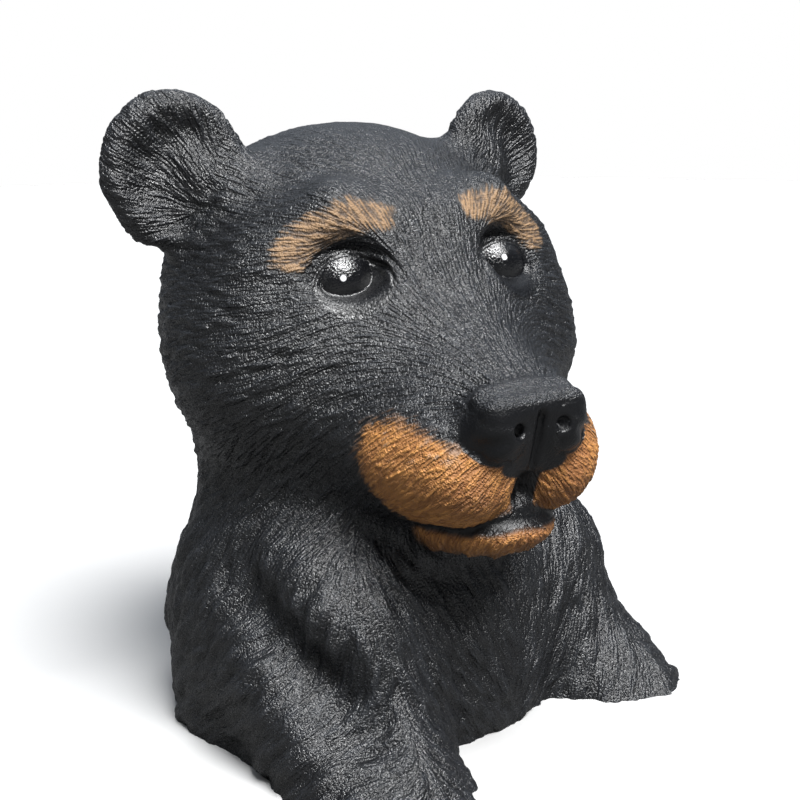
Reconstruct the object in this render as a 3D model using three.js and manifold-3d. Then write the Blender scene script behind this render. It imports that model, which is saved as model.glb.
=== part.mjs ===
import * as THREE from "three";
import { mergeVertices } from "three/addons/utils/BufferGeometryUtils.js";
import Module from "manifold-3d";

// A bear bust in cast resin, in millimetres. It faces -Y, its own left is +X,
// and its flat underside lies at Z = 0 with the origin under the head.

// Pose
const headHeight = 200; // middle of the head above the underside
const headTurn = -18.7; // degrees, toward the bear's right
const headNod = 2.7; // nose down
const headLean = -1.9; // crown toward the bear's right

// Head: places are left, forward and up from its middle. Paired forms are given on the left.
const skull = { at: [0, -14, -1], size: [87, 84, 75] };
const cheek = { at: [44, 20, -28], size: [56, 58, 58] };
const browInner = { from: [14, 56, 32], to: [37, 53, 40], thick: [9, 10] };
const browOuter = { from: [37, 53, 40], to: [66, 38, 18], thick: [10, 9] };
const bridge = { from: [0, 46, -2], to: [0, 122, -40], thick: [30, 23], wide: 1.15 };

// Eyes
const socket = { at: [41.5, 71, 18.5], size: [16, 11.5, 11] };
const pouch = { at: [42, 60, -4], size: [19, 11.5, 9.5] };
const lids = { at: [38.8, 56.5, 10.8], size: [16.6, 16, 13.6] };
const lidOpening = { at: [39, 72.5, 10.6], size: [15, 14, 12] };
const eyeball = { at: [38.4, 57.4, 11], size: [15.2, 14.6, 14.6] };

// Muzzle
const muzzleSide = { from: [30, 70, -50], to: [24, 98, -56], thick: [28, 27] };
const upperLip = { at: [21, 111, -56], size: [27, 35, 26] };
const lipFront = { at: [20, 125, -63], size: [18, 20.5, 16.5] };
const jaw = { from: [0, 76, -68], to: [0, 10, -90], thick: [28, 58], wide: 1.25 };
const innerLip = { at: [0, 118, -75], size: [20, 22, 10] };
const lowerLip = { at: [0, 106, -88], size: [29, 38.5, 13.5], turn: [0, 7] };
const nosePad = { at: [0, 140, -39], half: [20.5, 10.5, 17], round: 6.5, turn: [0, -17], taper: 0.22 };
const noseSide = { at: [15.5, 138, -40], size: [12.5, 16, 12] };
const nostril = { from: [10, 160, -35.5], to: [11, 142, -38], thick: [2.6, 2.4] };
const noseWing = { from: [19, 155, -40], to: [26, 149, -43], thick: [1.6, 3] };
const lipCleft = { from: [0, 154.5, -31], to: [0, 151, -62], thick: [1.7, 2.8] };

// Ears
const leftEar = { at: [83.5, -9, 57], size: [31, 12, 30], turn: [-16, 6] };
const leftCup = { at: [84.5, 4, 56.5], size: [26, 12, 25], turn: [-16, 6] };
const rightEar = { at: [85.5, -9, 56], size: [32.5, 12, 35], turn: [-16, 6] };
const rightCup = { at: [86.5, 4, 55.5], size: [27.5, 12, 30], turn: [-16, 6] };
const earRoot = { from: [60, -6, 42], to: [70, -8, 50], thick: [20, 15] };

// Body: places are left, forward and up from the middle of the head
const neck = { from: [0, -5, -40], to: [0, 6, -150], thick: [68, 78] };
const trunk = { at: [0, 2, -200], size: [103, 84, 92] };
const chest = { at: [0, 50, -160], size: [62, 46, 66] };
const shoulder = { at: [62, 4, -146], size: [40, 58, 62] };
const upperArm = { at: [64, 48, -150], size: [42, 44, 52] };
const foreArm = { from: [70, 44, -172], to: [88, 124, -246], thick: [42, 37] };
// Hollow between the neck and the right shoulder
const neckValley = { from: [-101, 20, -120], to: [-98, 92, -168], thick: [4, 8] };

const degrees = Math.PI / 180;

// Turn about the upright, then nod about the left-right line
const turned = ([turn, nod]) =>
  new THREE.Matrix4()
    .makeRotationZ(turn * degrees)
    .multiply(new THREE.Matrix4().makeRotationX(nod * degrees));

// A form's distance at a point: below nothing inside it, above nothing outside
function ball({ at, size, turn = [0, 0] }) {
  const e = turned(turn).elements;
  return (x, y, z) => {
    const [a, b, c] = [x - at[0], y - at[1], z - at[2]];
    const u = (a * e[0] + b * e[1] + c * e[2]) / size[0];
    const v = (a * e[4] + b * e[5] + c * e[6]) / size[1];
    const w = (a * e[8] + b * e[9] + c * e[10]) / size[2];
    const far = Math.hypot(u, v, w) + 1e-9;
    return (far * (far - 1)) / (Math.hypot(u / size[0], v / size[1], w / size[2]) + 1e-9);
  };
}

function limb({ from, to, thick, wide = 1 }) {
  const d = [to[0] - from[0], to[1] - from[1], to[2] - from[2]];
  const long2 = d[0] * d[0] + d[1] * d[1] + d[2] * d[2];
  return (x, y, z) => {
    const [a, b, c] = [(x - from[0]) / wide, y - from[1], z - from[2]];
    const t = Math.min(Math.max((a * d[0] + b * d[1] + c * d[2]) / long2, 0), 1);
    const away = Math.hypot(a - t * d[0], b - t * d[1], c - t * d[2]);
    return away - thick[0] - (thick[1] - thick[0]) * t;
  };
}

// A rounded block that is narrower below
function block({ at, half, round, turn, taper }) {
  const e = turned(turn).elements;
  return (x, y, z) => {
    const [a, b, c] = [x - at[0], y - at[1], z - at[2]];
    const up = a * e[8] + b * e[9] + c * e[10];
    const wide = 1 + taper * Math.min(Math.max(up / half[2], -1), 0.6);
    const u = Math.abs(a * e[0] + b * e[1] + c * e[2]) / wide - half[0] + round;
    const v = Math.abs(a * e[4] + b * e[5] + c * e[6]) - half[1] + round;
    const w = Math.abs(up) - half[2] + round;
    const out = Math.hypot(Math.max(u, 0), Math.max(v, 0), Math.max(w, 0));
    return 0.8 * (out + Math.min(Math.max(u, v, w), 0) - round);
  };
}

// Two forms run together over a width of k, or one is cut from the other
function join(a, b, k) {
  const h = Math.max(k - Math.abs(a - b), 0) / k;
  return Math.min(a, b) - (h * h * k) / 4;
}
const carve = (a, b, k) => -join(-a, b, k);

const form = {
  skull: ball(skull),
  cheek: ball(cheek),
  browInner: limb(browInner),
  browOuter: limb(browOuter),
  bridge: limb(bridge),
  socket: ball(socket),
  pouch: ball(pouch),
  lids: ball(lids),
  lidOpening: ball(lidOpening),
  eyeball: ball(eyeball),
  muzzleSide: limb(muzzleSide),
  upperLip: ball(upperLip),
  lipFront: ball(lipFront),
  jaw: limb(jaw),
  innerLip: ball(innerLip),
  lowerLip: ball(lowerLip),
  nosePad: block(nosePad),
  noseSide: ball(noseSide),
  nostril: limb(nostril),
  lipCleft: limb(lipCleft),
  noseWing: limb(noseWing),
  leftEar: ball(leftEar),
  leftCup: ball(leftCup),
  rightEar: ball(rightEar),
  rightCup: ball(rightCup),
  earRoot: limb(earRoot),
  neck: limb(neck),
  trunk: ball(trunk),
  chest: ball(chest),
  shoulder: ball(shoulder),
  upperArm: ball(upperArm),
  foreArm: limb(foreArm),
  neckValley: limb(neckValley),
};

function headDistance(x, y, z) {
  const m = Math.abs(x);
  let d = form.skull(x, y, z);
  d = join(d, form.cheek(m, y, z), 30);
  d = join(d, join(form.browInner(m, y, z), form.browOuter(m, y, z), 6), 20);
  d = join(d, form.bridge(x, y, z), 34);
  d = carve(d, form.socket(m, y, z), 9);
  d = join(d, form.pouch(m, y, z), 9);
  d = join(d, carve(form.lids(m, y, z), form.lidOpening(m, y, z), 2), 4);
  d = join(d, form.eyeball(m, y, z), 0.6);
  d = join(d, form.muzzleSide(m, y, z), 28);
  d = join(d, form.upperLip(m, y, z), 9);
  d = join(d, form.lipFront(m, y, z), 7);
  d = join(d, form.jaw(x, y, z), 26);
  d = join(d, form.innerLip(x, y, z), 4);
  d = join(d, form.lowerLip(x, y, z), 4);
  d = join(d, join(form.nosePad(x, y, z), form.noseSide(m, y, z), 6), 5);
  d = carve(d, form.nostril(m, y, z), 2);
  d = carve(d, form.noseWing(m, y, z), 4);
  d = carve(d, form.lipCleft(x, y, z), 2);
  const [disc, cup] = x > 0 ? [form.leftEar, form.leftCup] : [form.rightEar, form.rightCup];
  const ear = carve(disc(m, y, z), cup(m, y, z), 5);
  return join(d, join(ear, form.earRoot(m, y, z), 14), 12);
}

function bodyDistance(x, y, z) {
  const m = Math.abs(x);
  let d = form.neck(x, y, z);
  d = join(d, form.trunk(x, y, z), 26);
  d = join(d, form.chest(x, y, z), 25);
  d = join(d, form.shoulder(m, y, z), 22);
  d = join(d, form.upperArm(m, y, z), 18);
  d = join(d, form.foreArm(m, y, z), 16);
  return carve(d, form.neckValley(x, y, z), 22);
}

// From the bust's frame to the head's own
const headFrame = turned([headTurn, headNod])
  .multiply(new THREE.Matrix4().makeRotationY(headLean * degrees))
  .transpose();
const spot = new THREE.Vector3();
function inHead(x, y, z) {
  spot.set(x, y, z - headHeight).applyMatrix4(headFrame);
  return [spot.x, -spot.y, spot.z];
}

// The whole bear, which ends a little below the underside so that the flat can be cut
const cutAllowance = 12;
function distance(x, y, z) {
  const d = join(headDistance(...inHead(x, y, z)), bodyDistance(x, -y, z - headHeight), 22);
  return Math.max(d, -cutAllowance - z);
}

// Length that an edge may have: short at the eyes and nose, long on the plain back
function edgeLength(x, y, z) {
  const [l, f, u] = inHead(x, y, z);
  const m = Math.abs(l);
  const toEye = Math.hypot(m - 39.5, f - 66, u - 13.5);
  const toNose = Math.hypot(m - 12, f - 148, u + 42);
  const toLip = Math.hypot(m - 14, f - 132, u + 72);
  const toEar = Math.hypot(m - 85, f + 4, u - 56);
  const face = 9 + 0.07 * Math.max(Math.hypot(l, f - 80, u + 20) - 60, 0);
  return Math.min(
    face,
    2.9 + 0.3 * Math.max(toEye - 18, 0),
    3.2 + 0.3 * Math.max(toNose - 17, 0),
    4.2 + 0.3 * Math.max(toLip - 20, 0),
    6 + 0.3 * Math.max(toEar - 30, 0),
  );
}

// Grid lines: close together at the ears and muzzle, wide apart elsewhere
function lines(stops) {
  const out = [stops[0][0]];
  for (let i = 1; i < stops.length; i++) {
    const [start, [end, step]] = [stops[i - 1][0], stops[i]];
    const n = Math.max(Math.round((end - start) / step), 1);
    for (let k = 1; k <= n; k++) out.push(start + ((end - start) * k) / n);
  }
  return out;
}
const gridX = lines([[-142], [-60, 9], [60, 13], [142, 9]]);
const gridY = lines([[-200], [-60, 10], [-30, 10], [50, 9], [110, 14]]);
const gridZ = lines([[-46], [94, 14], [215, 11], [312, 8]]);

// One point in each cell that the surface crosses, and one square across each crossed line
function wrap() {
  const size = [gridX.length, gridY.length, gridZ.length];
  const at = (i, j, k) => (k * size[1] + j) * size[0] + i;
  const field = new Float64Array(size[0] * size[1] * size[2]);
  for (let k = 0; k < size[2]; k++)
    for (let j = 0; j < size[1]; j++)
      for (let i = 0; i < size[0]; i++) field[at(i, j, k)] = distance(gridX[i], gridY[j], gridZ[k]);
  const corner = [0, 1, 2, 3, 4, 5, 6, 7].map((c) => [c & 1, (c >> 1) & 1, c >> 2]);
  const points = [];
  const cellPoint = new Map();
  for (let k = 0; k < size[2] - 1; k++)
    for (let j = 0; j < size[1] - 1; j++)
      for (let i = 0; i < size[0] - 1; i++) {
        const sum = [0, 0, 0];
        let count = 0;
        for (let a = 0; a < 8; a++)
          for (const bit of [1, 2, 4]) {
            if (a & bit) continue;
            const [p, q] = [corner[a], corner[a | bit]];
            const dp = field[at(i + p[0], j + p[1], k + p[2])];
            const dq = field[at(i + q[0], j + q[1], k + q[2])];
            if (dp < 0 === dq < 0) continue;
            const t = dp / (dp - dq);
            sum[0] += gridX[i + p[0]] * (1 - t) + gridX[i + q[0]] * t;
            sum[1] += gridY[j + p[1]] * (1 - t) + gridY[j + q[1]] * t;
            sum[2] += gridZ[k + p[2]] * (1 - t) + gridZ[k + q[2]] * t;
            count++;
          }
        if (!count) continue;
        cellPoint.set(at(i, j, k), points.length);
        points.push(sum.map((s) => s / count));
      }
  const faces = [];
  const diagonals = new Set();
  const square = (a, b, c, d, turn) => {
    const [p, q, r, s] = [a, b, c, d].map((key) => cellPoint.get(key));
    const short = (m, n) => Math.hypot(...points[m].map((v, i) => v - points[n][i]));
    const taken = (m, n) => diagonals.has(Math.min(m, n) + "/" + Math.max(m, n));
    const first = taken(p, r) ? false : taken(q, s) ? true : short(p, r) < short(q, s);
    diagonals.add(first ? Math.min(p, r) + "/" + Math.max(p, r) : Math.min(q, s) + "/" + Math.max(q, s));
    const split = first ? [[p, q, r], [p, r, s]] : [[q, r, s], [q, s, p]];
    for (const [u, v, w] of split) faces.push(turn ? [u, w, v] : [u, v, w]);
  };
  for (let k = 1; k < size[2] - 1; k++)
    for (let j = 1; j < size[1] - 1; j++)
      for (let i = 1; i < size[0] - 1; i++) {
        const inside = field[at(i, j, k)] < 0;
        if (inside !== field[at(i + 1, j, k)] < 0)
          square(at(i, j - 1, k - 1), at(i, j, k - 1), at(i, j, k), at(i, j - 1, k), !inside);
        if (inside !== field[at(i, j + 1, k)] < 0)
          square(at(i - 1, j, k - 1), at(i - 1, j, k), at(i, j, k), at(i, j, k - 1), !inside);
        if (inside !== field[at(i, j, k + 1)] < 0)
          square(at(i - 1, j - 1, k), at(i, j - 1, k), at(i, j, k), at(i - 1, j, k), !inside);
      }
  return { points, faces };
}

// Moves a point onto the surface
function settle(p) {
  const e = 0.05;
  for (let i = 0; i < 4; i++) {
    const [x, y, z] = p;
    const d = distance(x, y, z);
    const g = [
      (distance(x + e, y, z) - distance(x - e, y, z)) / (2 * e),
      (distance(x, y + e, z) - distance(x, y - e, z)) / (2 * e),
      (distance(x, y, z + e) - distance(x, y, z - e)) / (2 * e),
    ];
    const g2 = Math.max(g[0] * g[0] + g[1] * g[1] + g[2] * g[2], 0.2);
    const step = Math.max(Math.min(d / g2, 3), -3);
    for (let a = 0; a < 3; a++) p[a] -= step * g[a];
  }
  return p;
}

// Halves each edge that is longer than it may be there
function refine({ points, faces }) {
  const middle = new Map();
  const half = (a, b) => {
    const key = a < b ? a * 1e6 + b : b * 1e6 + a;
    if (!middle.has(key)) {
      const [p, q] = [points[a], points[b]];
      const m = [(p[0] + q[0]) / 2, (p[1] + q[1]) / 2, (p[2] + q[2]) / 2];
      const long = Math.hypot(p[0] - q[0], p[1] - q[1], p[2] - q[2]);
      const keep = m[2] < -5 || long < edgeLength(...m) * 1.3;
      middle.set(key, keep ? -1 : points.push(settle(m)) - 1);
    }
    return middle.get(key);
  };
  const out = [];
  const length = (a, b) => Math.hypot(...points[a].map((v, i) => v - points[b][i]));
  for (const [a, b, c] of faces) {
    const [p, q, r] = [half(a, b), half(b, c), half(c, a)];
    const marks = (p >= 0) + (q >= 0) + (r >= 0);
    if (marks === 0) out.push([a, b, c]);
    else if (marks === 3) out.push([a, p, r], [p, b, q], [r, q, c], [p, q, r]);
    else {
      // turned so that the first edge is halved, and the last is not
      let [u, v, w, m, n] = [a, b, c, p, q];
      if (p < 0 || (r >= 0 && q < 0)) [u, v, w, m, n] = p < 0 ? [b, c, a, q, r] : [c, a, b, r, p];
      if (marks === 1 && m < 0) [u, v, w, m, n] = [c, a, b, r, p];
      if (marks === 1) out.push([u, m, w], [m, v, w]);
      else if (length(u, n) < length(m, w)) out.push([m, v, n], [u, m, n], [u, n, w]);
      else out.push([m, v, n], [u, m, w], [m, n, w]);
    }
  }
  return { points, faces: out };
}

// Evens the points out along the surface
function relax({ points, faces }) {
  const sum = points.map(() => [0, 0, 0, 0]);
  for (const t of faces)
    for (let i = 0; i < 3; i++) {
      const [a, b] = [t[i], t[(i + 1) % 3]];
      for (let k = 0; k < 3; k++) sum[a][k] += points[b][k];
      sum[a][3]++;
    }
  points.forEach((p, i) => {
    if (p[2] < -5) return;
    const moved = settle(p.map((v, k) => v + 0.35 * (sum[i][k] / sum[i][3] - v)));
    const far = Math.hypot(...moved.map((v, k) => v - p[k]));
    if (far < 0.3 * edgeLength(...p)) p.splice(0, 3, ...moved);
  });
}

let skin = wrap();
skin.points.forEach((p) => p[2] > 2 - cutAllowance && settle(p));
for (let i = 0; i < 5; i++) {
  skin = refine(skin);
  relax(skin);
}

// A point close to the flat is laid on the bear's outline there, so that the cut leaves no slivers
function layFlat(p) {
  const e = 0.05;
  p[2] = 0;
  for (let i = 0; i < 4; i++) {
    const d = distance(p[0], p[1], 0);
    const gx = (distance(p[0] + e, p[1], 0) - distance(p[0] - e, p[1], 0)) / (2 * e);
    const gy = (distance(p[0], p[1] + e, 0) - distance(p[0], p[1] - e, 0)) / (2 * e);
    const g2 = Math.max(gx * gx + gy * gy, 0.2);
    p[0] -= (d * gx) / g2;
    p[1] -= (d * gy) / g2;
  }
}
for (const p of skin.points) if (Math.abs(p[2]) < 4) layFlat(p);

const kernel = await Module();
kernel.setup();
const solid = (geometry) => {
  const bare = new THREE.BufferGeometry();
  bare.setAttribute("position", geometry.getAttribute("position"));
  bare.setIndex(geometry.index);
  const one = mergeVertices(bare, 1e-4);
  const mesh = { numProp: 3, vertProperties: one.attributes.position.array };
  return new kernel.Manifold(new kernel.Mesh({ ...mesh, triVerts: new Uint32Array(one.index.array) }));
};

const bear = new THREE.BufferGeometry();
bear.setAttribute("position", new THREE.Float32BufferAttribute(skin.points.flat(), 3));
bear.setIndex(skin.faces.flat());
const below = new THREE.BoxGeometry(600, 600, 200).translate(0, 0, -100);
const cut = solid(bear).subtract(solid(below)).getMesh();

const bust = new THREE.BufferGeometry();
bust.setAttribute("position", new THREE.BufferAttribute(new Float32Array(cut.vertProperties), 3));
bust.setIndex(new THREE.BufferAttribute(new Uint32Array(cut.triVerts), 1));
bust.computeVertexNormals();

const resin = new THREE.MeshStandardMaterial({ color: 0x2b2d30, roughness: 0.45 });
const casting = new THREE.Mesh(bust, resin);
casting.name = "bear_bust";

const bearStatue = new THREE.Group();
bearStatue.name = "bear_statue";
bearStatue.add(casting);

export default bearStatue;
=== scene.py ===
import math
import bpy
import bmesh
import numpy as np
from mathutils import Matrix, Vector


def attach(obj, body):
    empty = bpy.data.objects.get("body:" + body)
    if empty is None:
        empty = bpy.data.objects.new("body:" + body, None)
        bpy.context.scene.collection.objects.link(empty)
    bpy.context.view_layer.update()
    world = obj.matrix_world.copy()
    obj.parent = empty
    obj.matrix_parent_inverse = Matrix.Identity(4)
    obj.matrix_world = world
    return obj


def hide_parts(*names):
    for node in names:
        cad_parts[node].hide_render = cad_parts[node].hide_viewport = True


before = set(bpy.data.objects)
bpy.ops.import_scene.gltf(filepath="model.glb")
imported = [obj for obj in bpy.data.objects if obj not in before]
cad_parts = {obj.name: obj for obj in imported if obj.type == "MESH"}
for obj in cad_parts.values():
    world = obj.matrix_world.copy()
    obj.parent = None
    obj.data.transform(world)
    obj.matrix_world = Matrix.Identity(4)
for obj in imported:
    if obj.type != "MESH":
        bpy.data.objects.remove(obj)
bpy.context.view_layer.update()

# The bear looks along -Y. Forms are in millimetres, and places on the head or body
# are left, forward and up from the middle of the head. Paired forms are given on the left.
mm = 0.001


def turnMatrix(aboutUp, aboutSide=0.0, aboutForward=0.0):
    turns = [(aboutUp, "Z"), (aboutSide, "X"), (aboutForward, "Y")]
    out = Matrix.Identity(3)
    for angle, axis in turns:
        out = out @ Matrix.Rotation(math.radians(angle), 3, axis)
    return np.array(out)


# Camera: a step to the bear's right, a little above its eyes
cameraPlan = {
    "azimuth": -46.0,
    "elevation": 6.03,
    "distance": 625.2,        # from the middle of the head
    "lens": 58.5,
    "aimRight": -1.8,         # turned off the middle of the head, in degrees
    "aimDown": -5.28,
    "roll": -0.79,
}


def makeCamera(plan, target):
    rise = math.radians(plan["elevation"])
    back = Vector((0, -math.cos(rise), math.sin(rise)))
    right = Vector((1, 0, 0))
    axes = Matrix((right, back.cross(right), back)).transposed()
    for key, axis in (("aimRight", "Y"), ("aimDown", "X"), ("roll", "Z")):
        axes = axes @ Matrix.Rotation(math.radians(plan[key]), 3, axis)
    turn = Matrix.Rotation(math.radians(plan["azimuth"]), 3, "Z")
    data = bpy.data.cameras.new("portraitCamera")
    data.lens = plan["lens"]
    data.sensor_width = 36
    data.clip_start = 0.05
    data.clip_end = 40
    camera = bpy.data.objects.new("portraitCamera", data)
    bpy.context.scene.collection.objects.link(camera)
    spot = turn @ (back * plan["distance"] * mm) + Vector(target) * mm
    camera.matrix_world = Matrix.Translation(spot) @ (turn @ axes).to_4x4()
    bpy.context.scene.camera = camera
    return camera


pose = {"headHeight": 200.0, "headTurn": -18.7, "headNod": 2.7, "headLean": -1.9}
makeCamera(cameraPlan, (0, 0, pose["headHeight"]))
print("camera placed")

# Form of the casting
headAxes = turnMatrix(pose["headTurn"], pose["headNod"], pose["headLean"])
mirrorForward = np.array([1.0, -1.0, 1.0])

# "soft" is how far a form's edge runs into the form that it meets
headForms = {
    "skull": {"at": (0, -14, -1), "size": (87, 84, 75)},
    "cheek": {"at": (44, 20, -28), "size": (56, 58, 58), "soft": 30},
    "browInner": {"from": (14, 56, 32), "to": (37, 53, 40), "thick": (9, 10), "soft": 20},
    "browOuter": {"from": (37, 53, 40), "to": (66, 38, 18), "thick": (10, 9), "soft": 6},
    "bridge": {"from": (0, 46, -2), "to": (0, 122, -40), "thick": (30, 23), "wide": 1.15, "soft": 34},
    "socket": {"at": (41.5, 71, 18.5), "size": (16, 11.5, 11), "soft": 9},
    "pouch": {"at": (42, 60, -4), "size": (19, 11.5, 9.5), "soft": 9},
    "lids": {"at": (38.8, 56.5, 10.8), "size": (16.6, 16, 13.6), "soft": 4},
    "lidOpening": {"at": (39, 72.5, 10.6), "size": (15, 14, 12), "soft": 2},
    "eyeball": {"at": (38.4, 57.4, 11), "size": (15.2, 14.6, 14.6), "soft": 0.6},
    "muzzleSide": {"from": (30, 70, -50), "to": (24, 98, -56), "thick": (28, 27), "soft": 28},
    "upperLip": {"at": (21, 111, -56), "size": (27, 35, 26), "soft": 9},
    "lipFront": {"at": (20, 125, -63), "size": (18, 20.5, 16.5), "soft": 7},
    "jaw": {"from": (0, 76, -68), "to": (0, 10, -90), "thick": (28, 58), "wide": 1.25, "soft": 26},
    "innerLip": {"at": (0, 118, -75), "size": (20, 22, 10), "soft": 4},
    "lowerLip": {"at": (0, 106, -88), "size": (29, 38.5, 13.5), "turn": (0, 7), "soft": 4},
    "nosePad": {
        "at": (0, 140, -39), "half": (20.5, 10.5, 17), "round": 6.5, "turn": (0, -17),
        "taper": 0.22, "soft": 5,
    },
    "noseSide": {"at": (15.5, 138, -40), "size": (12.5, 16, 12), "soft": 6},
    "nostril": {"from": (10, 160, -35.5), "to": (11, 142, -38), "thick": (2.6, 2.4), "soft": 2},
    "noseWing": {"from": (19, 155, -40), "to": (26, 149, -43), "thick": (1.6, 3), "soft": 4},
    "lipCleft": {"from": (0, 154.5, -31), "to": (0, 151, -62), "thick": (1.7, 2.8), "soft": 2},
    "leftEar": {"at": (83.5, -9, 57), "size": (31, 12, 30), "turn": (-16, 6)},
    "leftCup": {"at": (84.5, 4, 56.5), "size": (26, 12, 25), "turn": (-16, 6), "soft": 5},
    "rightEar": {"at": (85.5, -9, 56), "size": (32.5, 12, 35), "turn": (-16, 6)},
    "rightCup": {"at": (86.5, 4, 55.5), "size": (27.5, 12, 30), "turn": (-16, 6), "soft": 5},
    "earRoot": {"from": (60, -6, 42), "to": (70, -8, 50), "thick": (20, 15), "soft": 14, "softToSkull": 12},
}
bodyForms = {
    "neck": {"from": (0, -5, -40), "to": (0, 6, -150), "thick": (68, 78), "softToHead": 22},
    "trunk": {"at": (0, 2, -200), "size": (103, 84, 92), "soft": 26},
    "chest": {"at": (0, 50, -160), "size": (62, 46, 66), "soft": 25},
    "shoulder": {"at": (62, 4, -146), "size": (40, 58, 62), "soft": 22},
    "upperArm": {"at": (64, 48, -150), "size": (42, 44, 52), "soft": 18},
    "foreArm": {"from": (70, 44, -172), "to": (88, 124, -246), "thick": (42, 37), "soft": 16},
    "neckValley": {"from": (-101, 20, -120), "to": (-98, 92, -168), "thick": (4, 8), "soft": 22},
}


def ball(p, form):
    q = p - np.array(form["at"], float)
    if "turn" in form:
        q = q @ turnMatrix(*form["turn"])
    size = np.array(form["size"], float)
    q = q / size
    far = np.sqrt((q * q).sum(1)) + 1e-9
    q = q / size
    return far * (far - 1) / (np.sqrt((q * q).sum(1)) + 1e-9)


def limb(p, form):
    start, end = np.array(form["from"], float), np.array(form["to"], float)
    q = p - start
    if "wide" in form:
        q = q / np.array([form["wide"], 1, 1])
    line = end - start
    t = np.clip(q @ line / (line @ line), 0, 1)
    q = q - t[:, None] * line
    return np.sqrt((q * q).sum(1)) - form["thick"][0] - (form["thick"][1] - form["thick"][0]) * t


# a rounded block that is narrower below
def block(p, form):
    half = np.array(form["half"], float)
    q = (p - np.array(form["at"], float)) @ turnMatrix(*form["turn"])
    q[:, 0] /= 1 + form["taper"] * np.clip(q[:, 2] / half[2], -1, 0.6)
    q = np.abs(q) - (half - form["round"])
    out = np.sqrt((np.maximum(q, 0) ** 2).sum(1))
    return 0.8 * (out + np.minimum(q.max(1), 0) - form["round"])


def join(a, b, k):
    h = np.maximum(k - np.abs(a - b), 0) / k
    return np.minimum(a, b) - h * h * k / 4


def carve(a, b, k):
    return -join(-a, b, k)


def formDistance(p, form):
    if "half" in form:
        return block(p, form)
    return limb(p, form) if "from" in form else ball(p, form)


def add(d, p, form):
    return join(d, formDistance(p, form), form["soft"])


def take(d, p, form):
    return carve(d, formDistance(p, form), form["soft"])


def mirrored(p):
    m = p.copy()
    m[:, 0] = np.abs(m[:, 0])
    return m


def toHead(p):
    return ((p - [0, 0, pose["headHeight"]]) @ headAxes) * mirrorForward


def toBody(p):
    return (p - [0, 0, pose["headHeight"]]) * mirrorForward


def headDistance(q):
    f, m = headForms, mirrored(q)
    d = add(ball(q, f["skull"]), m, f["cheek"])
    brow = add(limb(m, f["browInner"]), m, f["browOuter"])
    d = join(d, brow, f["browInner"]["soft"])
    d = add(d, q, f["bridge"])
    d = take(d, m, f["socket"])
    d = add(d, m, f["pouch"])
    lids = take(ball(m, f["lids"]), m, f["lidOpening"])
    d = join(d, lids, f["lids"]["soft"])
    for name in ("eyeball", "muzzleSide", "upperLip", "lipFront"):
        d = add(d, m, f[name])
    for name in ("jaw", "innerLip", "lowerLip"):
        d = add(d, q, f[name])
    nose = add(block(q, f["nosePad"]), m, f["noseSide"])
    d = join(d, nose, f["nosePad"]["soft"])
    d = take(d, m, f["nostril"])
    d = take(d, m, f["noseWing"])
    d = take(d, q, f["lipCleft"])
    left = take(ball(m, f["leftEar"]), m, f["leftCup"])
    right = take(ball(m, f["rightEar"]), m, f["rightCup"])
    ear = add(np.where(q[:, 0] > 0, left, right), m, f["earRoot"])
    return join(d, ear, f["earRoot"]["softToSkull"])


def bodyDistance(q):
    f, m = bodyForms, mirrored(q)
    d = limb(q, f["neck"])
    for name in ("trunk", "chest"):
        d = add(d, q, f[name])
    for name in ("shoulder", "upperArm", "foreArm"):
        d = add(d, m, f[name])
    return take(d, q, f["neckValley"])


skinPlan = {
    "floor": -9.0,            # the form runs on below the flat, which is cut last
    "still": 3.0,             # points this near to that floor stay where they are
    "low": (-140, -196, -22),
    "high": (140, 112, 306),
    "gridStep": 6.5,
    "rounds": 5,
    "longest": 1.34,          # an edge is halved when it is this many times too long
    "evening": 0.4,           # how far a point goes toward the middle of its neighbours
    "fine": 1.09,             # scale of all the edge lengths below
    "face": 1.15,
    "coat": 2.0,
    "back": 4.0,
    # the finely carved places: left, forward, up, reach and edge length
    "fineSpots": [
        (39, 66, 14, 17, 0.8), (12, 146, -40, 20, 0.9), (16, 128, -70, 32, 1.0), (85, -4, 56, 32, 1.5),
    ],
    "fineEnds": -115,         # the fine places are on the head only
    "growth": 0.12,           # how fast the edges lengthen around a fine place
    "nearSide": (-0.72, -0.69),
}


def distance(p):
    d = join(headDistance(toHead(p)), bodyDistance(toBody(p)), bodyForms["neck"]["softToHead"])
    return np.maximum(d, skinPlan["floor"] - p[:, 2])


def slope(p, step=0.05):
    here = distance(p)
    out = np.empty_like(p)
    for axis in range(3):
        shifted = p.copy()
        shifted[:, axis] += step
        out[:, axis] = (distance(shifted) - here) / step
    return here, out


def settle(p, times=2):
    for _ in range(times):
        d, g = slope(p)
        g2 = np.maximum((g * g).sum(1), 0.2)
        p = p - g * np.clip(d / g2, -3, 3)[:, None]
    return p


def ease(x, low, high):
    t = np.clip((x - low) / (high - low), 0, 1)
    return t * t * (3 - 2 * t)


# How long an edge may be: short where the carving is fine, long where little shows
def edgeLength(p):
    s, q, b = skinPlan, toHead(p), toBody(p)
    m = np.abs(q[:, 0])
    # the mesh grows coarser toward the back and the far side
    facing = (p[:, 0] * s["nearSide"][0] + p[:, 1] * s["nearSide"][1]) / 100
    coat = s["coat"] + (s["back"] - s["coat"]) * ease(-facing, -0.3, 0.55)
    head = s["face"] + (s["back"] - s["face"]) * ease(-facing, -0.42, 0.5)
    size = head + (coat - head) * ease(-b[:, 2], 88, 108)
    for l, f, h, reach, length in s["fineSpots"]:
        away = np.sqrt((m - l) ** 2 + (q[:, 1] - f) ** 2 + (q[:, 2] - h) ** 2)
        near = length + s["growth"] * np.maximum(away - reach, 0)
        size = np.minimum(size, np.where(b[:, 2] > s["fineEnds"], near, size))
    return size * s["fine"]


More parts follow.
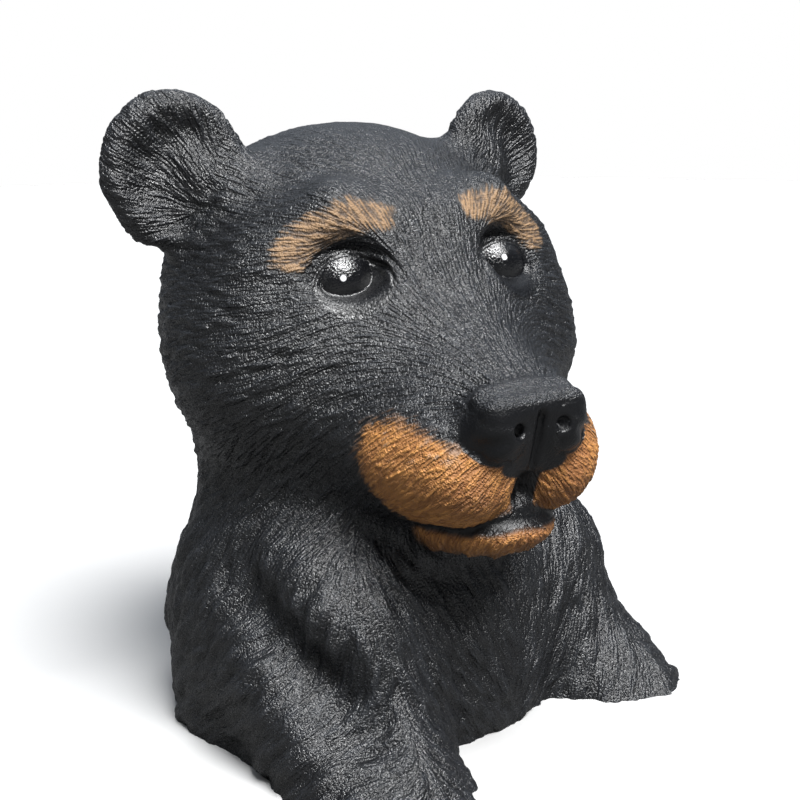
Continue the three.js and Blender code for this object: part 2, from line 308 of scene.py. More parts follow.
# One point in each cell that the surface crosses, one square across each crossed line
def wrapForm(low, high, step):
    axes = [np.arange(low[i], high[i] + step, step) for i in range(3)]
    shape = tuple(len(a) for a in axes)
    grid = np.stack(np.meshgrid(*axes, indexing="ij"), -1)
    field = distance(grid.reshape(-1, 3)).reshape(shape)
    inside = field < 0
    cells = tuple(n - 1 for n in shape)
    total = np.zeros(cells + (3,))
    count = np.zeros(cells)
    for axis in range(3):
        others = [i for i in range(3) if i != axis]
        for shift in ((0, 0), (0, 1), (1, 0), (1, 1)):
            start = [0, 0, 0]
            start[others[0]], start[others[1]] = shift
            a = tuple(slice(start[i], start[i] + cells[i]) for i in range(3))
            start[axis] = 1
            b = tuple(slice(start[i], start[i] + cells[i]) for i in range(3))
            crossed = inside[a] != inside[b]
            t = np.where(crossed, field[a] / np.where(crossed, field[a] - field[b], 1), 0)
            point = grid[a] + (grid[b] - grid[a]) * t[..., None]
            total += point * crossed[..., None]
            count += crossed
    used = count > 0
    number = np.full(cells, -1)
    number[used] = np.arange(used.sum())
    points = total[used] / count[used][:, None]
    faces = []
    for axis in range(3):
        u, v = (axis + 1) % 3, (axis + 2) % 3
        a = [slice(1, shape[i] - 1) for i in range(3)]
        b = list(a)
        b[axis] = slice(2, shape[axis])
        first, second = inside[tuple(a)], inside[tuple(b)]
        where = np.argwhere(first != second) + 1
        corners = []
        for du, dv in ((-1, -1), (0, -1), (0, 0), (-1, 0)):
            cell = where.copy()
            cell[:, u] += du
            cell[:, v] += dv
            corners.append(number[tuple(cell.T)])
        square = np.stack(corners, 1)
        outward = inside[tuple(where.T)]
        square = np.where(outward[:, None], square, square[:, ::-1])
        faces += [square[:, [0, 1, 2]], square[:, [0, 2, 3]]]
    return points, np.concatenate(faces)


def aboveFloor(points):
    return points[:, 2] > skinPlan["floor"] + skinPlan["still"]


# Halves every edge that is longer than it may be, and splits the faces to match
def halveLongEdges(points, faces):
    n = len(points)
    pairs = np.sort(faces[:, [[0, 1], [1, 2], [2, 0]]], 2).reshape(-1, 2)
    keys, back = np.unique(pairs[:, 0] * n + pairs[:, 1], return_inverse=True)
    a, b = points[keys // n], points[keys % n]
    middle = (a + b) / 2
    length = np.sqrt(((a - b) ** 2).sum(1))
    tooLong = (length > edgeLength(middle) * skinPlan["longest"]) & aboveFloor(middle)
    index = np.full(len(keys), -1)
    index[tooLong] = n + np.arange(tooLong.sum())
    marks = index[back.reshape(-1)].reshape(-1, 3)
    points = np.concatenate([points, settle(middle[tooLong])])
    count = (marks >= 0).sum(1)
    out = [faces[count == 0]]
    f, m = faces[count == 3], marks[count == 3]
    out += [
        np.stack([f[:, 0], m[:, 0], m[:, 2]], 1), np.stack([m[:, 0], f[:, 1], m[:, 1]], 1),
        np.stack([m[:, 2], m[:, 1], f[:, 2]], 1), m,
    ]
    for kind in (1, 2):
        f, m = faces[count == kind], marks[count == kind]
        # turned so that a single halved edge is first, or the one whole edge is last
        turn = (m >= 0).argmax(1) if kind == 1 else ((m < 0).argmax(1) + 1) % 3
        order = (turn[:, None] + np.arange(3)) % 3
        f, m = np.take_along_axis(f, order, 1), np.take_along_axis(m, order, 1)
        if kind == 1:
            out += [np.stack([f[:, 0], m[:, 0], f[:, 2]], 1), np.stack([m[:, 0], f[:, 1], f[:, 2]], 1)]
            continue
        out.append(np.stack([m[:, 0], f[:, 1], m[:, 1]], 1))
        one = ((points[f[:, 0]] - points[m[:, 1]]) ** 2).sum(1)
        two = ((points[m[:, 0]] - points[f[:, 2]]) ** 2).sum(1)
        c = one < two
        out += [
            np.stack([f[c, 0], m[c, 0], m[c, 1]], 1), np.stack([f[c, 0], m[c, 1], f[c, 2]], 1),
            np.stack([f[~c, 0], m[~c, 0], f[~c, 2]], 1), np.stack([m[~c, 0], m[~c, 1], f[~c, 2]], 1),
        ]
    return points, np.concatenate(out)


# Evens the points out along the surface
def evenOut(points, faces):
    a, b = faces[:, [0, 1, 2]].ravel(), faces[:, [1, 2, 0]].ravel()
    count = np.bincount(a, minlength=len(points))
    mean = np.stack([np.bincount(a, points[b, i], len(points)) for i in range(3)], 1)
    moved = points + skinPlan["evening"] * (mean / count[:, None] - points)
    moved = settle(moved, 1)
    far = np.sqrt(((moved - points) ** 2).sum(1))
    keep = (far < 0.4 * edgeLength(points)) & aboveFloor(points)
    return np.where(keep[:, None], moved, points)


def makeSkin():
    points, faces = wrapForm(skinPlan["low"], skinPlan["high"], skinPlan["gridStep"])
    upper = aboveFloor(points)
    points[upper] = settle(points[upper], 3)
    for _ in range(skinPlan["rounds"]):
        points, faces = halveLongEdges(points, faces)
        points = evenOut(points, faces)
    points = evenOut(points, faces)
    return points, faces


skinPoints, skinFaces = makeSkin()
print("skin wrapped:", len(skinPoints), "points,", len(skinFaces), "faces")

# Lie of the fur
# Place and way of the hair, on the head and on the body, left side; the other side mirrors it
headFlow = [
    ((0, 125, -22), (0, -1.0, 0.5)), ((0, 95, 5), (0, -1.0, 0.55)),
    ((0, 72, 18), (0, -0.7, 0.8)), ((0, 60, 50), (0.05, -0.8, 0.6)),
    ((35, 55, 54), (0.45, -0.8, 0.35)), ((0, 0, 75), (0, -1, 0)),
    ((45, 10, 62), (0.4, -0.9, 0)), ((66, 50, 22), (0.55, -0.8, -0.1)),
    ((88, 15, 20), (0.1, -1, -0.05)), ((22, 74, 2), (0.15, -0.6, 0.75)),
    ((30, 90, -12), (0.45, -0.85, 0.1)), ((42, 72, -8), (0.15, -0.35, -0.8)),
    ((62, 62, 0), (0.5, -0.8, -0.35)), ((78, 45, -20), (0.3, -0.9, -0.25)),
    ((92, 15, -40), (0.05, -0.95, -0.3)), ((38, 102, -28), (0.4, -0.7, -0.55)),
    ((35, 118, -58), (0.5, -0.6, -0.65)), ((12, 140, -64), (0.7, -0.2, -0.7)),
    ((52, 90, -56), (0.25, -0.75, -0.6)), ((70, 50, -76), (0.1, -0.7, -0.7)),
    ((85, -20, -50), (-0.1, -0.6, -0.8)), ((14, 125, -94), (0.4, -0.4, -0.8)),
    ((0, -90, -20), (0, 0, -1)), ((0, -85, 35), (0, -0.4, -1)), ((40, 85, -90), (0.2, -0.5, -0.8)),
]
bodyFlow = [
    ((0, 80, -105), (0, 0.1, -1)), ((75, 20, -100), (0.05, -0.25, -1)),
    ((30, 85, -112), (-0.25, 0.1, -1)), ((14, 92, -140), (-0.5, 0.1, -1)),
    ((50, 80, -140), (-0.7, 0.1, -0.9)), ((84, 50, -120), (0.35, -0.25, -0.85)),
    ((70, 70, -150), (-0.3, 0.1, -1)), ((102, 5, -150), (0.1, -0.7, -0.75)),
    ((98, 60, -165), (0.2, -0.7, -0.6)), ((95, 90, -185), (0.2, -0.5, -0.6)),
    ((40, 100, -180), (-0.6, 0.3, -0.8)), ((0, -70, -150), (0, 0, -1)),
    ((70, -50, -150), (0.1, -0.2, -1)), ((100, 0, -195), (0.1, -0.9, -0.4)),
]
combPlan = {
    "headReach": 26.0,
    "bodyReach": 34.0,
    "earRoot": (62, -2.0, 36.0),
    "earLine": (88, 96),          # across an ear, sideways and a little up
    "earHeight": (22, 34),
    "bodyStarts": (84, 112),      # below the middle of the head
}


def combed(q, flow, reach):
    m = mirrored(q)
    side = np.where(q[:, 0] < 0, -1.0, 1.0)
    total = np.zeros_like(q)
    for place, way in flow:
        gap = m - np.array(place, float)
        weight = np.exp(-(gap * gap).sum(1) / reach ** 2) + 1e-6 / (1 + (gap * gap).sum(1) / reach ** 2)
        way = np.array(way, float) / np.linalg.norm(way)
        total += weight[:, None] * way
    total[:, 0] *= side * ease(m[:, 0], 0, 6)
    return total


def unit(v):
    return v / (np.sqrt((v * v).sum(1)) + 1e-12)[:, None]


# from 0 to 1, how far up an ear a place on the head is
def earShare(q):
    upTheEar = ease(np.abs(q[:, 0]) + 0.35 * q[:, 2], *combPlan["earLine"])
    return upTheEar * ease(q[:, 2], *combPlan["earHeight"])


def hairWay(points, normals):
    plan, q, b = combPlan, toHead(points), toBody(points)
    head = unit(combed(q, headFlow, plan["headReach"]))
    # on an ear the hair runs out from its root
    ear = earShare(q)
    sideOfRoot, forwardOfRoot, heightOfRoot = plan["earRoot"]
    n = len(q)
    root = np.stack([np.sign(q[:, 0]) * sideOfRoot, np.full(n, forwardOfRoot), np.full(n, heightOfRoot)], 1)
    head = head * (1 - ear)[:, None] + unit(q - root) * ear[:, None]
    head = (head * mirrorForward) @ headAxes.T
    body = unit(combed(b, bodyFlow, plan["bodyReach"])) * mirrorForward
    share = ease(-b[:, 2], *plan["bodyStarts"])[:, None]
    way = head * (1 - share) + body * share
    way = way - normals * (way * normals).sum(1)[:, None]
    return unit(way)


# Relief
def chance(cell, seed):
    x = cell @ np.array([127.1, 311.7, 74.7]) + seed * 19.19
    return np.modf(np.abs(np.sin(x) * 43758.5453))[0]


def strokes(p, along, across, normal, plan, seed):
    # one stroke in each cell of a loose lattice, felt by the points around it
    length, width, _ = plan["size"]
    size = length * plan["spread"]
    base = np.floor(p / size)
    best = np.zeros(len(p))
    for dx in (-1, 0, 1):
        for dy in (-1, 0, 1):
            for dz in (-1, 0, 1):
                cell = base + [dx, dy, dz]
                jitter = np.stack([chance(cell, seed + k) for k in range(3)], 1)
                gap = p - (cell + 0.05 + 0.9 * jitter) * size
                bend = (chance(cell, seed + 3) - 0.5) * plan["waver"]
                u = (gap * along).sum(1) / (length / 2)
                v = ((gap * across).sum(1) + bend * (gap * along).sum(1)) / (width / 2)
                v = v / (1 - 0.45 * np.clip(u, 0, 1))
                w = (gap * normal).sum(1) / (size * 0.75)
                crest = np.clip(1 - v * v, 0, 1) * np.clip(1 - u * u, 0, 1) * np.clip(1 - w * w, 0, 1)
                best = np.maximum(best, crest * (0.6 + 0.4 * chance(cell, seed + 4)))
    return best


def softNoise(p, size, seed):
    q = p / size
    base = np.floor(q)
    t = q - base
    t = t * t * (3 - 2 * t)
    total = np.zeros(len(p))
    for dx in (0, 1):
        for dy in (0, 1):
            for dz in (0, 1):
                w = np.abs(1 - dx - t[:, 0]) * np.abs(1 - dy - t[:, 1]) * np.abs(1 - dz - t[:, 2])
                total += w * chance(base + [dx, dy, dz], seed)
    return total * 2 - 1


furPlan = {
    # millimetres; the strokes lie "spread" lengths apart, and "second" is the weight of a second layer
    "short": {"size": (7.0, 2.3, 0.7), "spread": 0.6, "waver": 0.7, "second": 0.8, "seed": 11},
    "cheek": {"size": (18.0, 3.3, 1.9), "spread": 0.36, "waver": 0.5, "second": 0.5, "seed": 37},
    "lobe": {"size": (10.0, 2.2, 1.3), "spread": 0.38, "waver": 0.9, "second": 0.7, "seed": 43},
    "coat": {"size": (20.0, 4.6, 3.0), "spread": 0.38, "waver": 0.5, "second": 0.6, "seed": 53},
    "tuft": {"size": (42.0, 12.0, 5.0), "spread": 0.42, "waver": 0.5, "second": 0.7, "seed": 71},
    "lump": {"grain": 17.0, "height": 0.7, "seed": 5},
    # short fur on the bridge and the crown: left, forward, up, reach and fade
    "shortSpots": [(0, 85, 20, 36, 34), (0, 40, 70, 40, 40)],
    "foot": 0.45,                 # share of a stroke's height that lies below the skin
    "tuftOnEar": 0.3,
    "tuftOnCheek": 0.22,
    "lowerOnEar": 0.35,
    "coarseEdge": 1.4,            # strokes are lower where edges are longer than this
    "lowerWhenCoarse": 0.4,
}

normals = unit(slope(skinPoints)[1])
along = hairWay(skinPoints, normals)
across = np.cross(normals, along)
headSpot, bodySpot = toHead(skinPoints), toBody(skinPoints)
sideways, forward, upward = np.abs(headSpot[:, 0]), headSpot[:, 1], headSpot[:, 2]


def nearSpot(l, f, h, reach, fade):
    away = np.sqrt((sideways - l) ** 2 + (forward - f) ** 2 + (upward - h) ** 2)
    return 1 - ease(away, reach, reach + fade)


def lineGap(start, end):
    start, end = np.array(start, float), np.array(end, float)
    q = mirrored(headSpot) - start
    line = end - start
    t = np.clip(q @ line / (line @ line), 0, 1)
    return np.sqrt(((q - t[:, None] * line) ** 2).sum(1))


def pathGap(path):
    return np.minimum.reduce([lineGap(a, b) for a, b in zip(path, path[1:])])


# Where each finish lies, from 0 to 1. Each pair is the two ends of a fade.
area = {
    "headEnds": (92, 112),
    "faceStarts": (30, 45),
    "eyeEdge": (0.05, 0.35), "eyeOpening": (-0.3, 0.6), "eyeHollow": (-0.3, 1.0),
    "upperLid": (10, 18),
    "lidRim": (1.0, 2.0), "upperLidRim": (2.6, 4.6),
    "noseEdge": (0.8, 2.2), "noseStarts": (126, 131),
    "noseTopFaces": (0.3, 0.6), "noseTopHeight": (-36, -30),
    "lipEdge": (0.8, 2.6), "lipStarts": (92, 104), "lipLine": (-2.0, 1.5),
    "cleftWidth": (3.4, 6.0), "cleftStarts": (120, 130), "cleftHeight": (48, 54), "cleftMiddle": 1.2,
    "lobeEdge": (-3, 3),
    "lobe": {"at": (25, 111.9, -54), "size": (32, 38.5, 27.2), "turn": (0, -21.4)},
    "lobeFront": {"at": (19, 128, -60), "size": (18, 27, 19), "soft": 8},
}
onHead = 1 - ease(-bodySpot[:, 2], *area["headEnds"])
onFace = onHead * ease(forward, *area["faceStarts"])
ballDepth = ball(mirrored(headSpot), headForms["eyeball"])
openDepth = ball(mirrored(headSpot), headForms["lidOpening"])
eyeMask = (1 - ease(ballDepth, *area["eyeEdge"])) * (1 - ease(openDepth, *area["eyeOpening"]))
eyeRing = np.where(forward > 40, openDepth, 40)      # how far outside the lids' opening
above = ease(upward, *area["upperLid"])
rimStart, rimEnd = [a + (b - a) * above for a, b in zip(area["lidRim"], area["upperLidRim"])]
lidMask = 1 - ease(eyeRing, rimStart, rimEnd)
# the hollow inside the lids' opening, which the finish paints dark as painted shade
lidHollowShade = (1 - ease(openDepth, *area["eyeHollow"])) * (1 - eyeMask) * onFace
padDepth = np.minimum(block(headSpot, headForms["nosePad"]), ball(mirrored(headSpot), headForms["noseSide"]))
noseMask = (1 - ease(padDepth, *area["noseEdge"])) * ease(forward, *area["noseStarts"]) * onHead
# the nose's upward-facing top: sandy grain, speckled grey in the finish as a painted highlight
noseTopSandAndSheen = noseMask * ease(normals[:, 2], *area["noseTopFaces"]) * ease(upward, *area["noseTopHeight"])
onLower = 1 - ease(ball(headSpot, headForms["lowerLip"]), *area["lipEdge"])
onLower = onLower * ease(forward, *area["lipStarts"]) * onHead
chinLine = -upward - 80.5 - 0.15 * sideways          # how far below the seam of the lower lip
lipMask = onLower * (1 - ease(chinLine, *area["lipLine"]))
cleftMask = 1 - ease(np.abs(headSpot[:, 0] - area["cleftMiddle"]), *area["cleftWidth"])
cleftMask = cleftMask * ease(forward, *area["cleftStarts"])
cleftMask *= ease(-upward, *area["cleftHeight"]) * onHead * (1 - onLower)
smoothMask = np.maximum.reduce([eyeMask, noseMask, 0.85 * lipMask, 0.8 * cleftMask, 0.9 * lidMask])
lobeDepth = add(ball(mirrored(headSpot), area["lobe"]), mirrored(headSpot), area["lobeFront"])
onLobe = (1 - ease(lobeDepth, *area["lobeEdge"])) * onHead
browLine = [(24, 67, 40), (29, 66.5, 40.5), (36, 66.5, 39.8), (46, 63.5, 36.5), (55, 59, 30.5), (61, 57, 24)]
browGap = pathGap(browLine)


def relief():
    p, f = skinPoints, furPlan
    furry = 1 - smoothMask
    coatShare = 1 - onHead
    lobe = np.maximum(onLobe, onLower)
    ear = earShare(headSpot) * onHead
    aroundEye = 1 - ease(np.minimum(browGap - 8, eyeRing - 9), 0, 8)
    short = np.maximum.reduce([nearSpot(*spot) for spot in f["shortSpots"]] + [aroundEye])
    short *= onHead * (1 - ear) * (1 - lobe)
    cheek = np.clip(onHead - short - lobe, 0, 1)
    crest = {}
    for name in ("short", "cheek", "lobe", "coat", "tuft"):
        plan = f[name]
        first = strokes(p, along, across, normals, plan, plan["seed"])
        second = strokes(p + 91.7, along, across, normals, plan, plan["seed"] + 100)
        crest[name] = np.maximum(first, second * plan["second"])
    shares = {"short": short, "cheek": cheek, "lobe": lobe, "coat": coatShare}
    stroke = sum(share * crest[name] for name, share in shares.items())
    rise = {name: (crest[name] - f["foot"]) * f[name]["size"][2] for name in crest}
    height = sum(share * rise[name] for name, share in shares.items())
    tuftShare = np.clip(coatShare + f["tuftOnEar"] * ear + f["tuftOnCheek"] * cheek, 0, 1)
    height += tuftShare * rise["tuft"]
    height *= 1 - f["lowerOnEar"] * ear
    height += softNoise(p, f["lump"]["grain"], f["lump"]["seed"]) * f["lump"]["height"]
    height /= 1 + f["lowerWhenCoarse"] * np.maximum(edgeLength(p) - f["coarseEdge"], 0)
    return height * furry, np.clip(stroke, 0, 1) * furry


furHeight, strokeMask = relief()

# Folds of the lids and lines on the nose. A fold lies so far outside the lids' opening,
# a line runs between two places, and a height below zero is a crease.
creasePlan = {
    "rim": {"out": 1.0, "width": 0.7, "height": 0.5},
    "crease": {"out": 2.4, "width": 0.8, "height": -1.0, "below": 0.4},
    "fold": {"out": 3.9, "width": 0.8, "height": 0.7},
    "foldCrease": {"out": 5.8, "width": 1.1, "height": -1.5},
    "outerCorner": {"line": ((51, 63, 11), (61, 57, 6)), "width": 1.3, "height": -1.4},
    "innerCorner": {"line": ((25.5, 68, 9), (21, 72, 4)), "width": 1.2, "height": -1.12},
    "mouthCorner": {"line": ((26, 122, -82), (37, 104, -85)), "width": 1.4, "height": -0.8},
    "noseEdge": {"forward": 149.0, "width": 1.6, "height": 0.55},
    "noseLine": {"forward": 144.5, "width": 1.6, "height": -0.4},
    "noseRidge": {"forward": 139, "width": 2.0, "height": 0.35},
    "wing": {"path": [(31, 137, -40.6), (24, 146, -46), (12, 150, -50.5)], "width": 1.2, "height": -0.9},
    "groove": {"middle": 0.5, "width": 1.5, "height": -2.2},
    "pinhole": {"width": 0.9, "height": -1.3},
    "pinholes": [(9.6, 152.5, -28.3), (8.9, 153.5, -43.6), (6.5, 154, -41)],
}


def dent(away, plan):
    return plan["height"] * np.exp(-(away / plan["width"]) ** 2)


def creases():
    c = creasePlan
    lid = {name: dent(eyeRing - c[name]["out"], c[name]) for name in ("rim", "crease", "fold", "foldCrease")}
    less = c["crease"]["below"]
    height = lid["rim"] + lid["crease"] * (less + (1 - less) * above)
    height += (lid["fold"] + lid["foldCrease"]) * above
    for name in ("outerCorner", "innerCorner", "mouthCorner"):
        height += dent(lineGap(*c[name]["line"]), c[name])
    pad = ease(upward, -36, -29) * (1 - ease(sideways, 20, 26))
    for name in ("noseEdge", "noseLine", "noseRidge"):
        height += dent(forward - c[name]["forward"], c[name]) * pad
    height += dent(pathGap(c["wing"]["path"]), c["wing"])
    groove = dent(headSpot[:, 0] - c["groove"]["middle"], c["groove"])
    height += groove * ease(forward, 143, 148) * ease(-upward, 28, 34)
    for place in c["pinholes"]:
        away = np.sqrt(((headSpot - np.array(place, float)) ** 2).sum(1))
        height += dent(away, c["pinhole"])
    return height * onHead


skinPoints = skinPoints + normals * (furHeight + creases())[:, None]
print("relief carved")

# Paint
paintPlan = {
    "ragged": [(5.0, 23, 1.8), (2.2, 29, 1.0)],      # grain, seed and depth of the ragged edges
    "browReach": 3.5,
    "browFade": 8.0,
    "browClear": (3.0, 7.0),                         # no brow paint this near to the lids' opening
    "patches": [(5.0, 61, 1.0), (2.0, 67, 0.6)],     # grain, seed and weight of the bare grey patches
    "patchAmount": 0.7,
}


def mottle(layers):
    return sum(softNoise(skinPoints, size, seed) * weight for size, seed, weight in layers)


raggedEdge = mottle(paintPlan["ragged"])
browEnd = paintPlan["browReach"] + paintPlan["browFade"]
browPaint = 1 - ease(browGap + raggedEdge, paintPlan["browReach"], browEnd)
browPaint *= onFace * ease(eyeRing, *paintPlan["browClear"])
topShare, backShare = ease(upward, -50, -34), 1 - ease(forward, 92, 118)
lobeEdge = lobeDepth + 0.8 * raggedEdge + 2.5 * topShare
lobePaint = 1 - ease(lobeEdge, -3.0 - 6.0 * np.maximum(backShare, 0.6 * topShare), 2.5 + 2.5 * backShare)
lobePaint *= onHead * (1 - noseMask) * (1 - cleftMask) * (1 - onLower)
# browner toward the front of the tan patch, and darker toward its bottom as painted shade
lobeShade = ease(forward, 136, 150) * 0.55 + 0.2 * ease(-upward, 66, 80)
greyPatch = ease(mottle(paintPlan["patches"]), 0.15, 0.6) * ease(upward, -54, -45)
greyPatch *= lobePaint * paintPlan["patchAmount"]
chinPaint = onLower * ease(chinLine + 0.5 * raggedEdge, -1.0, 2.5) * ease(forward + raggedEdge, 102, 111)


def buildBust():
    mesh = bpy.data.meshes.new("bearSkin")
    mesh.from_pydata((skinPoints * mm).tolist(), [], skinFaces.tolist())
    scalars = {
        "brow": browPaint, "lobe": lobePaint, "chin": chinPaint, "shade": lobeShade, "patch": greyPatch,
        "nose": noseMask - noseTopSandAndSheen, "sandAndSheen": noseTopSandAndSheen, "lip": np.maximum(lipMask, cleftMask * 0.8),
        "eye": eyeMask, "lid": lidHollowShade, "stroke": strokeMask, "smoothness": smoothMask, "onHead": onHead,
    }
    for name, values in scalars.items():
        mesh.attributes.new(name, "FLOAT", "POINT").data.foreach_set("value", values.astype(np.float32))
    hairWays = mesh.attributes.new("hairWay", "FLOAT_VECTOR", "POINT")
    hairWays.data.foreach_set("vector", along.astype(np.float32).ravel())
    # cut flat below
    work = bmesh.new()
    work.from_mesh(mesh)
    cut = {"plane_co": (0, 0, 0), "plane_no": (0, 0, 1), "dist": 1e-6, "clear_inner": True}
    bmesh.ops.bisect_plane(work, geom=work.verts[:] + work.edges[:] + work.faces[:], **cut)
    rim = [e for e in work.edges if e.is_boundary]
    for face in work.faces:
        face.smooth = True
    for edge in rim:
        edge.smooth = False
    bottom = bmesh.ops.holes_fill(work, edges=rim, sides=0)["faces"]
    bmesh.ops.triangulate(work, faces=bottom)
    bmesh.ops.recalc_face_normals(work, faces=work.faces[:])
    work.to_mesh(mesh)
    work.free()
    bust = bpy.data.objects.new("bearBust", mesh)
    bpy.context.scene.collection.objects.link(bust)
    return bust


bust = buildBust()
print("bust built:", len(bust.data.polygons), "faces")


# Finish
class Recipe:
    # short hand for wiring a material's nodes
    def __init__(self, name):
        self.material = bpy.data.materials.new(name)
        self.material.use_nodes = True
        self.tree = self.material.node_tree
        self.tree.nodes.clear()

    def node(self, kind, inputs=None, **settings):
        made = self.tree.nodes.new(kind)
        for key, value in settings.items():
            setattr(made, key, value)
        for key, value in (inputs or {}).items():
            if isinstance(value, bpy.types.NodeSocket):
                self.tree.links.new(value, made.inputs[key])
            else:
                made.inputs[key].default_value = value
        return made

    def math(self, operation, a, b=0.0, clamp=False):
        made = self.node("ShaderNodeMath", {0: a, 1: b}, operation=operation, use_clamp=clamp)
        return made.outputs[0]

    def vector(self, operation, a, b=(0, 0, 0)):
        made = self.node("ShaderNodeVectorMath", {0: a, 1: b}, operation=operation)
        return made.outputs["Value" if operation in ("DOT_PRODUCT", "LENGTH", "DISTANCE") else "Vector"]

    def mix(self, share, a, b):
        made = self.node("ShaderNodeMix", {0: share, 6: a, 7: b}, data_type="RGBA")
        return made.outputs[2]

    def blend(self, share, a, b):
        made = self.node("ShaderNodeMix", {0: share, 2: a, 3: b}, data_type="FLOAT")
        return made.outputs[0]

    def ramp(self, value, low, high, start=0.0, end=1.0):
        ends = {0: value, 1: low, 2: high, 3: start, 4: end}
        return self.node("ShaderNodeMapRange", ends, interpolation_type="SMOOTHSTEP").outputs[0]

    def attribute(self, name, output="Fac"):
        return self.node("ShaderNodeAttribute", attribute_name=name).outputs[output]


resinPlan = {
    "dark": (0.0032, 0.0035, 0.0044, 1),
    # grey is the painted highlight on the raised strokes
    "grey": (0.018, 0.020, 0.024, 1),
    "tan": (0.56, 0.250, 0.060, 1),
    "brown": (0.26, 0.100, 0.023, 1),
    "browTan": (0.25, 0.15, 0.073, 1),
    "browBrown": (0.07, 0.042, 0.023, 1),
    "patch": (0.11, 0.113, 0.116, 1),
    "black": (0.004, 0.0042, 0.005, 1),
    "paintedGlint": (0.14, 0.15, 0.17, 1),
    "white": (0.85, 0.86, 0.88, 1),
    "hair": {"fineness": 900.0, "step": 0.00095, "count": 8, "contrast": (0.40, 0.62)},
    "grit": {"Scale": 1000.0, "Detail": 2.0, "Roughness": 0.6},
    "cloud": {"Scale": 38.0, "Detail": 3.0, "Roughness": 0.6},
    "paintedGlintPlan": {"fineness": 600.0, "rarity": 0.93, "size": (0.06, 0.22), "amount": 0.5},
    "roughness": {"fur": (0.20, 0.44), "gloss": (0.25, 0.5), "tan": 0.68, "eye": 0.13},
    "shine": {"fur": 0.7, "gloss": 0.38},
    "grain": {"fur": 0.00085, "smooth": 0.0003, "eye": 0.0004, "sandAndSheen": 0.0011},
    "hairHeight": {"head": 0.0006, "coat": 0.0004, "tan": 0.0010},
    "eyeDots": [(-42.8, 70.6, 14.5), (37.1, 70.9, 16.6)],
    "dotSize": 0.00125,
    "chip": (65.7, 2.5, 71.9),
    "chipSize": 0.0021,
}


def headToWorld(place):
    spot = headAxes @ (np.array(place, float) * mirrorForward) + [0, 0, pose["headHeight"]]
    return tuple(float(v) * mm for v in spot)


def combedHair(r, place, way, plan):
    # fine noise averaged along the lie of the fur, which leaves long thin hairs
    total = 0.0
    for k in range(plan["count"]):
        shift = plan["step"] * (k - (plan["count"] - 1) / 2)
        moved = r.node("ShaderNodeVectorMath", {0: way, 1: (shift,) * 3, 2: place}, operation="MULTIPLY_ADD")
        noise = {"Vector": moved.outputs[0], "Scale": plan["fineness"], "Detail": 0.0}
        total = r.math("ADD", r.node("ShaderNodeTexNoise", noise).outputs[0], total)
    return r.ramp(r.math("DIVIDE", total, plan["count"]), *plan["contrast"])


